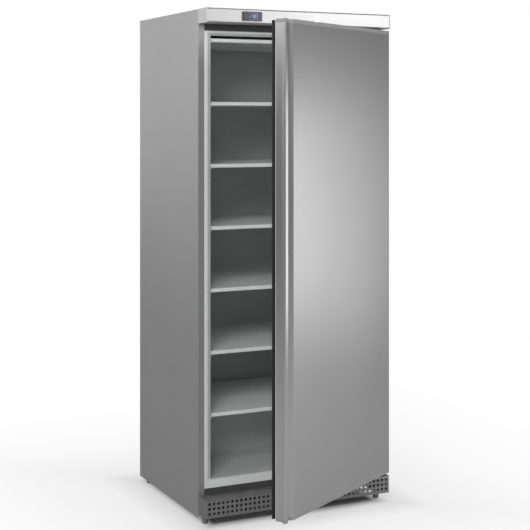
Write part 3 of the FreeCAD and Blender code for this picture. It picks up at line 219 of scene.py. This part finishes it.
def lens_material():
    """The controller's lens: black glass with a faint blue glow towards its right end."""
    n = Nodes("display_lens")
    low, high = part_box("controller_display")
    glow = n.map_range(n.axes()["X"], "SMOOTHSTEP", From_Min=low[0] + 0.004, From_Max=high[0] + 0.010)
    n.feed(n.ramp(glow, [(0.0, (0.010, 0.012, 0.016)), (1.0, (0.020, 0.040, 0.085))]), "Base Color")
    n.feed(n.map_range(n.noise(900.0), To_Min=0.10, To_Max=0.16), "Roughness")
    n.feed(n.ramp(glow, [(0.0, (0.008, 0.012, 0.022)), (1.0, (0.035, 0.085, 0.20))]), "Emission Color")
    n.set(Emission_Strength=0.7)
    return n.material


# Scales of the brushed grain: low along the streaks, high across them.
LEVEL_GRAIN = (3.0, 3.0, 1100.0)
SIDE_GRAIN = (3.0, 3.0, 900.0)
UPRIGHT_GRAIN = (700.0, 700.0, 3.0)
COIL_GRAIN = (120.0, 3.0, 120.0)

mats = {
    "side": brushed_metal("side_steel", grey(0.48), SIDE_GRAIN, (0.42, 0.50), 0.75),
    "front": brushed_metal("door_steel", grey(0.60), LEVEL_GRAIN, (0.36, 0.42), 0.95),
    "fascia": brushed_metal("fascia_steel", grey(0.60), LEVEL_GRAIN, (0.36, 0.44), 0.8),
    "handle": brushed_metal("handle_metal", grey(0.66), UPRIGHT_GRAIN, (0.26, 0.34), 0.97),
    "plinth": brushed_metal("plinth_steel", grey(0.30), LEVEL_GRAIN, (0.40, 0.48), 0.7),
    "chrome": brushed_metal("lock_chrome", grey(0.80), 300.0, (0.10, 0.18), 1.0, contrast=0.03),
    "copper": brushed_metal("copper_pipe", (0.72, 0.38, 0.24), 90.0, (0.25, 0.38), 1.0, contrast=0.12),
    "alu": brushed_metal("coil_aluminium", (0.62, 0.63, 0.64), COIL_GRAIN, (0.35, 0.5), 0.95),
    "zinc": galvanised("zinc_sheet", (0.50, 0.52, 0.54)),
    # The cross members' near-black is painted shade: it stands for the shade in the recesses under the fascia
    # and above the plinth.
    "dark": coated("frame_coat_painted_shade", grey(0.075), 0.5),
    "enamel": coated("shelf_enamel", (0.90, 0.91, 0.91), 0.3, peel=0.06),
    "pot": coated("compressor_coat", grey(0.018), 0.32, peel=0.2),
    # The liner is the same white plastic as the frame; its mid-grey is painted shade for the deep, dim
    # interior.
    "liner": plastic("liner_sheet_painted_shade", (0.66, 0.67, 0.67), 0.36, 500.0, 0.04, coat=0.1),
    "white": plastic("frame_white", (0.87, 0.88, 0.88), 0.34, 500.0, 0.04, coat=0.15),
    "panel_white": plastic("door_lining_white", (0.78, 0.79, 0.79), 0.38, 500.0, 0.05, coat=0.1),
    "cap": plastic("grey_cap_plastic", grey(0.34), 0.45, 900.0, 0.1),
    "seal": plastic("seal_rubber", grey(0.018), 0.6, 1200.0, 0.1, spread=0.2),
    "nylon": plastic("bush_nylon", (0.78, 0.78, 0.74)),
    "black": plastic("black_housing", grey(0.012), 0.28, 900.0, 0.05, coat=0.4, spread=0.2),
    "key": plastic("key_black", grey(0.03), 0.4, 900.0, 0.08, spread=0.2),
    "foot": plastic("foot_plastic", grey(0.30), 0.5, 700.0, 0.1),
    "foam": plastic("insulation", (0.83, 0.72, 0.45), 0.85, 260.0, 0.5, spread=0.18),
    "tray": plastic("tray_black", grey(0.03), 0.5, 600.0, 0.1, spread=0.2),
    "mark": plastic("key_marks", grey(0.45), 0.5, 900.0, 0.05),
    "digit": glowing("display_digits", (0.30, 0.55, 1.0), 0.9),
    "lens": lens_material(),
}

NODE_MATERIALS = {
    "side": ["side_panel_left", "side_panel_right", "top_panel"],
    "front": ["door_skin"],
    "fascia": ["fascia"],
    "plinth": ["plinth_grille"],
    "handle": ["door_handle"],
    "zinc": ["back_panel", "base_pan", "base_rail_left", "base_rail_right", "machine_tray",
             "machine_cover", "hinge_bracket_top", "hinge_bracket_bottom", "hinge_pin_top",
             "hinge_pin_bottom", "grille_screws"],
    "dark": ["cross_member_upper", "cross_member_lower"],
    "liner": ["inner_liner"],
    "white": ["breaker_frame", "shelf_rails", "temperature_probe"],
    "panel_white": ["door_inner_panel"],
    "enamel": [f"evaporator_shelf_{n}" for n in range(1, 8)],
    "cap": ["door_trim_top", "door_trim_bottom"],
    "seal": ["door_gasket", "compressor_mounts"],
    "nylon": ["hinge_bush_top", "hinge_bush_bottom"],
    "black": ["controller_housing"],
    "lens": ["controller_display"],
    "key": ["button_up", "button_down", "button_set", "button_power"],
    "chrome": ["lock_barrel", "lock_cam"],
    "foot": ["foot_front_left", "foot_front_right", "foot_rear_left", "foot_rear_right"],
    "pot": ["compressor", "fan_motor"],
    "foam": ["insulation_foam", "door_foam"],
    "tray": ["evaporation_tray", "fan_shroud", "fan_rotor", "cable_inlet"],
    "copper": ["suction_riser"],
    "alu": ["condenser"],
}
for key, names in NODE_MATERIALS.items():
    for name in names:
        node = nodes[name]
        node.data.materials.clear()
        node.data.materials.append(mats[key])

# ------------------------------------------------------------------ pieces

# Points closer than this are joined.
WELD = 1e-6


def new_piece(name, build, key, body):
    """A mesh piece from bmesh code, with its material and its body."""
    bm = bmesh.new()
    build(bm)
    bmesh.ops.remove_doubles(bm, verts=bm.verts, dist=WELD)
    bmesh.ops.recalc_face_normals(bm, faces=bm.faces)
    mesh = bpy.data.meshes.new(name)
    bm.to_mesh(mesh)
    bm.free()
    mesh.materials.append(mats[key])
    piece = bpy.data.objects.new(name, mesh)
    bpy.context.scene.collection.objects.link(piece)
    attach(piece, body)
    return piece


def sweep(bm, rings, smooth):
    """Skin a list of rings, all with the same number of points, into a closed tube."""
    loops = [[bm.verts.new(point) for point in ring] for ring in rings]
    count = len(loops[0])
    for first, second in zip(loops, loops[1:]):
        for k in range(count):
            after = (k + 1) % count
            face = bm.faces.new((first[k], first[after], second[after], second[k]))
            face.smooth = smooth
    bm.faces.new(loops[0][::-1])
    bm.faces.new(loops[-1])


def lathe(bm, centre, profile, sides=48):
    """Turn (radius, height) pairs about an upright axis."""
    rings = []
    for radius, height in profile:
        ring = []
        for k in range(sides):
            angle = 2 * math.pi * k / sides
            offset = (radius * math.cos(angle), radius * math.sin(angle), height)
            ring.append(Vector(centre) + Vector(offset))
        rings.append(ring)
    sweep(bm, rings, smooth=True)


def prism_along_y(bm, outline, front, rear):
    """A flat piece with an outline in X and Z, from one Y to another."""
    sweep(bm, [[(x, y, z) for x, z in outline] for y in (front, rear)], smooth=False)


def prism_along_x(bm, outline, left, right):
    """A bar with an outline in Y and Z, from one X to another."""
    sweep(bm, [[(x, y, z) for y, z in outline] for x in (left, right)], smooth=False)


def middle(low, high):
    return [(a + b) / 2 for a, b in zip(low, high)]


# Levelling foot: (radius, height over the floor) of the cup with its rounded sole, and of
# the hexagon; then the stud, whose ribs stand in for a thread.
FOOT_CUP = [(0.0085, 0.0), (0.0102, 0.0008), (0.0112, 0.0030), (0.0122, 0.0100), (0.0129, 0.0180),
            (0.0130, 0.0215), (0.0124, 0.0235), (0.0108, 0.0243)]
FOOT_HEXAGON = [(0.0094, 0.0242), (0.0104, 0.0250), (0.0104, 0.0302), (0.0094, 0.0310)]
STUD_FOOT = 0.0310
STUD_CREST, STUD_ROOT = 0.0050, 0.0044
STUD_STEPS = 25
STUD_SIDES = 24


def make_foot(name):
    low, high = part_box(name)
    x, y = middle(low, high)[:2]
    stud = [(STUD_ROOT if step % 2 else STUD_CREST,
             STUD_FOOT + (high[2] - STUD_FOOT) * step / STUD_STEPS) for step in range(STUD_STEPS + 1)]

    def build(bm):
        lathe(bm, (x, y, 0), FOOT_CUP)
        lathe(bm, (x, y, 0), FOOT_HEXAGON, 6)
        lathe(bm, (x, y, 0), stud, STUD_SIDES)

    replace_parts(new_piece(f"{name}_shaped", build, "foot", name), name)


for name in NODE_MATERIALS["foot"]:
    make_foot(name)

# Ledge screw: (radius, height over the ledge) of the shank and the raised oval head with
# its round recess.
SCREW_PROFILE = [(0.0024, -0.0075), (0.0024, 0.0), (0.0050, 0.0001), (0.0050, 0.0007),
                 (0.0043, 0.0015), (0.0030, 0.0020), (0.0016, 0.00215), (0.0012, 0.0012)]
SCREW_RADIUS = 0.0050
SCREW_HEAD = 0.0022
SCREW_SIDES = 32


def make_screws():
    """The two screws in the plinth's top ledge."""
    low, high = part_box("grille_screws")
    y = (low[1] + high[1]) / 2
    for side, x in (("left", low[0] + SCREW_RADIUS), ("right", high[0] - SCREW_RADIUS)):

        def build(bm):
            lathe(bm, (x, y, high[2] - SCREW_HEAD), SCREW_PROFILE, SCREW_SIDES)

        piece = new_piece(f"ledge_screw_{side}", build, "zinc", "cabinet")
        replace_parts(piece, "grille_screws")


make_screws()

# The lit reading, and the bars of each of its seven-segment glyphs.
READING = "-18"
GLYPH_BARS = {"1": "bc", "8": "abcdefg", "-": "g"}
GLYPH_WIDTH, GLYPH_HEIGHT, GLYPH_STROKE = 0.006, 0.011, 0.0013
GLYPH_PITCH = 0.0085
READING_FROM_LEFT, READING_FROM_FOOT = 0.010, 0.005
READING_RAISED, READING_SUNK = 0.0002, 0.0003


def glyph_outlines(glyph, left, bottom):
    """Outlines of the lit bars of one seven-segment glyph."""
    half = GLYPH_STROKE / 2
    right = left + GLYPH_WIDTH
    top = bottom + GLYPH_HEIGHT
    waist = bottom + GLYPH_HEIGHT / 2
    bars = {
        "a": (left + half, top - GLYPH_STROKE, right - half, top),
        "b": (right - GLYPH_STROKE, waist + half, right, top - half),
        "c": (right - GLYPH_STROKE, bottom + half, right, waist - half),
        "d": (left + half, bottom, right - half, bottom + GLYPH_STROKE),
        "e": (left, bottom + half, left + GLYPH_STROKE, waist - half),
        "f": (left, waist + half, left + GLYPH_STROKE, top - half),
        "g": (left + half, waist - half, right - half, waist + half),
    }
    for bar in GLYPH_BARS[glyph]:
        x0, z0, x1, z1 = bars[bar]
        yield [(x0, z0), (x1, z0), (x1, z1), (x0, z1)]


def build_digits(bm):
    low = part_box("controller_display")[0]
    left = low[0] + READING_FROM_LEFT
    for glyph in READING:
        for outline in glyph_outlines(glyph, left, low[2] + READING_FROM_FOOT):
            prism_along_y(bm, outline, low[1] - READING_RAISED, low[1] + READING_SUNK)
        left += GLYPH_PITCH


new_piece("display_digits_lit", build_digits, "digit", "cabinet")

# Marks on the keys, as outlines in X and Z about the middle of a key.
MARK_HALF = 0.0022
MARK_DEPTH = 0.0002
DISC_RADIUS = 0.0021
EIGHTH_TURN = 0.785
MARKS = {
    "button_up": [[(-MARK_HALF, -0.0012), (MARK_HALF, -0.0012), (0.0, 0.0018)]],
    "button_down": [[(-MARK_HALF, 0.0012), (0.0, -0.0018), (MARK_HALF, 0.0012)]],
    "button_set": [[(-MARK_HALF, z), (MARK_HALF, z), (MARK_HALF, z + 0.0008), (-MARK_HALF, z + 0.0008)]
                   for z in (0.0006, -0.0014)],
    "button_power": [[(DISC_RADIUS * math.sin(k * EIGHTH_TURN), DISC_RADIUS * math.cos(k * EIGHTH_TURN))
                      for k in range(8)]],
}


def make_mark(button):
    low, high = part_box(button)
    x, _, z = middle(low, high)

    def build(bm):
        for outline in MARKS[button]:
            shape = [(x + dx, z + dz) for dx, dz in outline]
            prism_along_y(bm, shape, low[1] - MARK_DEPTH, low[1] + MARK_DEPTH)

    new_piece(f"{button}_mark", build, "mark", button)


for button in MARKS:
    make_mark(button)

# Louvre hoods: two columns of rows, and one hood's outline as (Y from the cover's rear face,
# Z from the row).
LOUVRE_ROWS = 8
LOUVRE_FIRST_ROW, LOUVRE_PITCH = 0.050, 0.026
LOUVRE_COLUMN = 0.140
LOUVRE_HALF_LENGTH = 0.126
LOUVRE_HOOD = [(-0.0002, 0.0068), (-0.0002, 0.0054), (0.0008, -0.0030), (0.0009, -0.0034), (0.0009, 0.0040)]


def build_louvres(bm):
    """A hood over every slot of the machine compartment's rear cover."""
    low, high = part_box("machine_cover")
    for row in range(LOUVRE_ROWS):
        z = low[2] + LOUVRE_FIRST_ROW + LOUVRE_PITCH * row
        hood = [(high[1] + dy, z + dz) for dy, dz in LOUVRE_HOOD]
        for side in (-1, 1):
            x = (low[0] + high[0]) / 2 + LOUVRE_COLUMN * side
            prism_along_x(bm, hood, x - LOUVRE_HALF_LENGTH, x + LOUVRE_HALF_LENGTH)


new_piece("cover_louvres", build_louvres, "zinc", "cabinet")

# The inlet's contact blades: their spots in X and Z about the middle of the inlet, and their
# reach from the socket's floor.
BLADE_SPOTS = [(-0.0062, -0.002), (0.0, 0.003), (0.0062, -0.002)]
BLADE_HALF_X, BLADE_HALF_Z = 0.0011, 0.0022
BLADE_ROOT, BLADE_REACH = 0.0005, 0.012
SOCKET_FLOOR = 0.003


def build_blades(bm):
    low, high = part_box("cable_inlet")
    x, _, z = middle(low, high)
    floor = low[1] + SOCKET_FLOOR
    for dx, dz in BLADE_SPOTS:
        outline = [(x + dx + a * BLADE_HALF_X, z + dz + b * BLADE_HALF_Z)
                   for a, b in ((-1, -1), (1, -1), (1, 1), (-1, 1))]
        prism_along_y(bm, outline, floor - BLADE_ROOT, floor + BLADE_REACH)


new_piece("inlet_blades", build_blades, "chrome", "cabinet")

# ------------------------------------------------------------------ camera, floor and light

scene = bpy.context.scene
left_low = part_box("side_panel_left")[0]
right_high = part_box("side_panel_right")[1]
cabinet_x = (left_low[0] + right_high[0]) / 2
cabinet_y = (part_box("fascia")[0][1] + right_high[1]) / 2
half_x = (right_high[0] - left_low[0]) / 2
half_y = right_high[1] - cabinet_y

# From the perspective fit: focal length and rise in pixels of a square frame, and the spot
# of the camera from the middle of the cabinet's footprint.
FRAME_PIXELS = 530
FOCAL_PIXELS = 1269.36
RISE_PIXELS = 145.12
HEADING = math.radians(-25.69)
CAMERA_SPOT = (-2.1928, -4.5908, 1.48605)
SENSOR_MM = 36.0
CLIP_END = 50.0


def from_cabinet(spot):
    return Vector(spot) + Vector((cabinet_x, cabinet_y, 0))


def make_camera():
    """A rising-front camera: it looks level, and the frame sits below its axis.

    The uprights stay parallel, as in the photograph. The lean of the frame is held in the
    link to a stand and not in the lens, so that other views with this camera are centred.
    """
    data = bpy.data.cameras.new("camera")
    data.sensor_width = SENSOR_MM
    data.lens = SENSOR_MM * math.hypot(FOCAL_PIXELS, RISE_PIXELS) / FRAME_PIXELS
    data.clip_end = CLIP_END
    right = Vector((math.cos(HEADING), math.sin(HEADING), 0))
    up = Vector((0, 0, 1))
    look = (up.cross(right) * FOCAL_PIXELS - up * RISE_PIXELS).normalized()
    lean = Matrix((right, up, -look)).transposed().to_4x4()
    stand = bpy.data.objects.new("camera_stand", None)
    camera = bpy.data.objects.new("camera", data)
    for thing in (stand, camera):
        scene.collection.objects.link(thing)
    camera.parent = stand
    camera.matrix_parent_inverse = Matrix.Translation(from_cabinet(CAMERA_SPOT)) @ lean
    scene.camera = camera


make_camera()
scene.view_settings.view_transform = "Standard"

# Name, spot and target from the middle of the cabinet's footprint, size in m, power in W.
LIGHTS = [
    ("key", (-3.0, -4.4, 3.6), (0.0, 0.0, 1.2), (2.0, 2.0), 135),
    ("front_card", (2.6, -4.6, 2.75), (0.0, -0.3, 1.5), (1.6, 2.3), 60),
    ("door_card", (2.3, -1.53, 1.0), (0.0, -1.53, 1.0), (1.9, 1.25), 13),
    ("high_left_card", (-3.2, -0.6, 2.9), (0.0, -0.6, 1.7), (1.6, 1.2), 22),
]


def area_light(name, spot, target, size, power):
    data = bpy.data.lights.new(name, "AREA")
    data.shape = "RECTANGLE"
    data.size, data.size_y = size
    data.energy = power
    light = bpy.data.objects.new(name, data)
    light.location = from_cabinet(spot)
    light.rotation_euler = (Vector(target) - Vector(spot)).to_track_quat("-Z", "Y").to_euler()
    scene.collection.objects.link(light)


for light in LIGHTS:
    area_light(*light)

FLOOR_HALF = 14.0
FLOOR_LEVEL = -0.0005
# To the eye the floor fades from its own shaded grey, under the cabinet, to the white of the
# backdrop; the fade alone also greys a ring round the footprint whether lit or not, painted
# shade round the base: distance from the edge of the cabinet's footprint at the start and the
# end of the fade, and (share of that distance, share of white) along it.
FADE_START, FADE_END = -0.06, 1.34
FADE = [(0.0, 0.0), (0.045, 0.55), (0.14, 0.80), (0.45, 0.93), (1.0, 1.0)]


def build_floor():
    mesh = bpy.data.meshes.new("floor")
    corners = [(x * FLOOR_HALF, y * FLOOR_HALF, FLOOR_LEVEL) for x, y in ((-1, -1), (1, -1), (1, 1), (-1, 1))]
    mesh.from_pydata(corners, [], [(0, 1, 2, 3)])
    n = Nodes("floor_white")
    n.feed(n.blotches(n.noise(2.0, 2.0), grey(0.50), grey(0.54)), "Base Color")
    n.set(Roughness=0.9)
    place = n.axes()
    gaps = []
    for axis, centre, half in (("X", cabinet_x, half_x), ("Y", cabinet_y, half_y)):
        shifted = n.math("SUBTRACT", place[axis], centre)
        gaps.append(n.math("SUBTRACT", n.math("ABSOLUTE", shifted), half))
    distance = n.map_range(n.math("MAXIMUM", *gaps), From_Min=FADE_START, From_Max=FADE_END)
    # A lower share of white near the footprint greys the floor there: painted shade round the base, on top of
    # the real shading under the cabinet.
    white = n.ramp(distance, [(share, grey(value)) for share, value in FADE])
    eye = n.add("ShaderNodeLightPath").outputs["Is Camera Ray"]
    mix = n.add("ShaderNodeMixShader")
    n.link(n.math("MULTIPLY", eye, white), mix.inputs[0])
    n.link(n.shader.outputs[0], mix.inputs[1])
    n.link(n.add("ShaderNodeEmission").outputs[0], mix.inputs[2])
    n.link(mix.outputs[0], n.surface)
    mesh.materials.append(n.material)
    floor = bpy.data.objects.new("floor", mesh)
    scene.collection.objects.link(floor)


build_floor()

# The world as a lamp, and as reflected ahead of and behind the object; the change between
# the two lies over these values of the direction's Y.
LIT_STRENGTH = 0.30
AHEAD_STRENGTH, BEHIND_STRENGTH = 0.10, 1.0
CHANGE_START, CHANGE_END = 0.1, 0.75


def build_world():
    """White to the eye; in reflections white behind the object and a dim room elsewhere."""
    world = bpy.data.worlds.new("studio")
    scene.world = world
    world.use_nodes = True
    tree = world.node_tree
    tree.nodes.clear()
    link = tree.links.new

    def add(kind, **settings):
        node = tree.nodes.new(kind)
        for key, value in settings.items():
            setattr(node, key, value)
        return node

    def background(strength):
        shade = add("ShaderNodeBackground")
        shade.inputs["Color"].default_value = (1, 1, 1, 1)
        shade.inputs["Strength"].default_value = strength
        return shade

    def mixed(share, first, second):
        mix = add("ShaderNodeMixShader")
        for socket, source in zip(mix.inputs, (share, first.outputs[0], second.outputs[0])):
            link(source, socket)
        return mix

    parts = add("ShaderNodeSeparateXYZ")
    link(add("ShaderNodeTexCoord").outputs["Generated"], parts.inputs["Vector"])
    change = add("ShaderNodeMapRange", interpolation_type="SMOOTHSTEP")
    for key, value in (("From Min", CHANGE_START), ("From Max", CHANGE_END),
                       ("To Min", AHEAD_STRENGTH), ("To Max", BEHIND_STRENGTH)):
        change.inputs[key].default_value = value
    link(parts.outputs["Y"], change.inputs["Value"])
    mirrored = background(1.0)
    link(change.outputs["Result"], mirrored.inputs["Strength"])

    path = add("ShaderNodeLightPath").outputs
    straight = add("ShaderNodeMath", operation="MAXIMUM")
    link(path["Is Camera Ray"], straight.inputs[0])
    link(path["Is Transmission Ray"], straight.inputs[1])
    unseen = mixed(path["Is Glossy Ray"], background(LIT_STRENGTH), mirrored)
    whole = mixed(straight.outputs[0], unseen, background(1.0))
    link(whole.outputs[0], add("ShaderNodeOutputWorld").inputs["Surface"])


build_world()
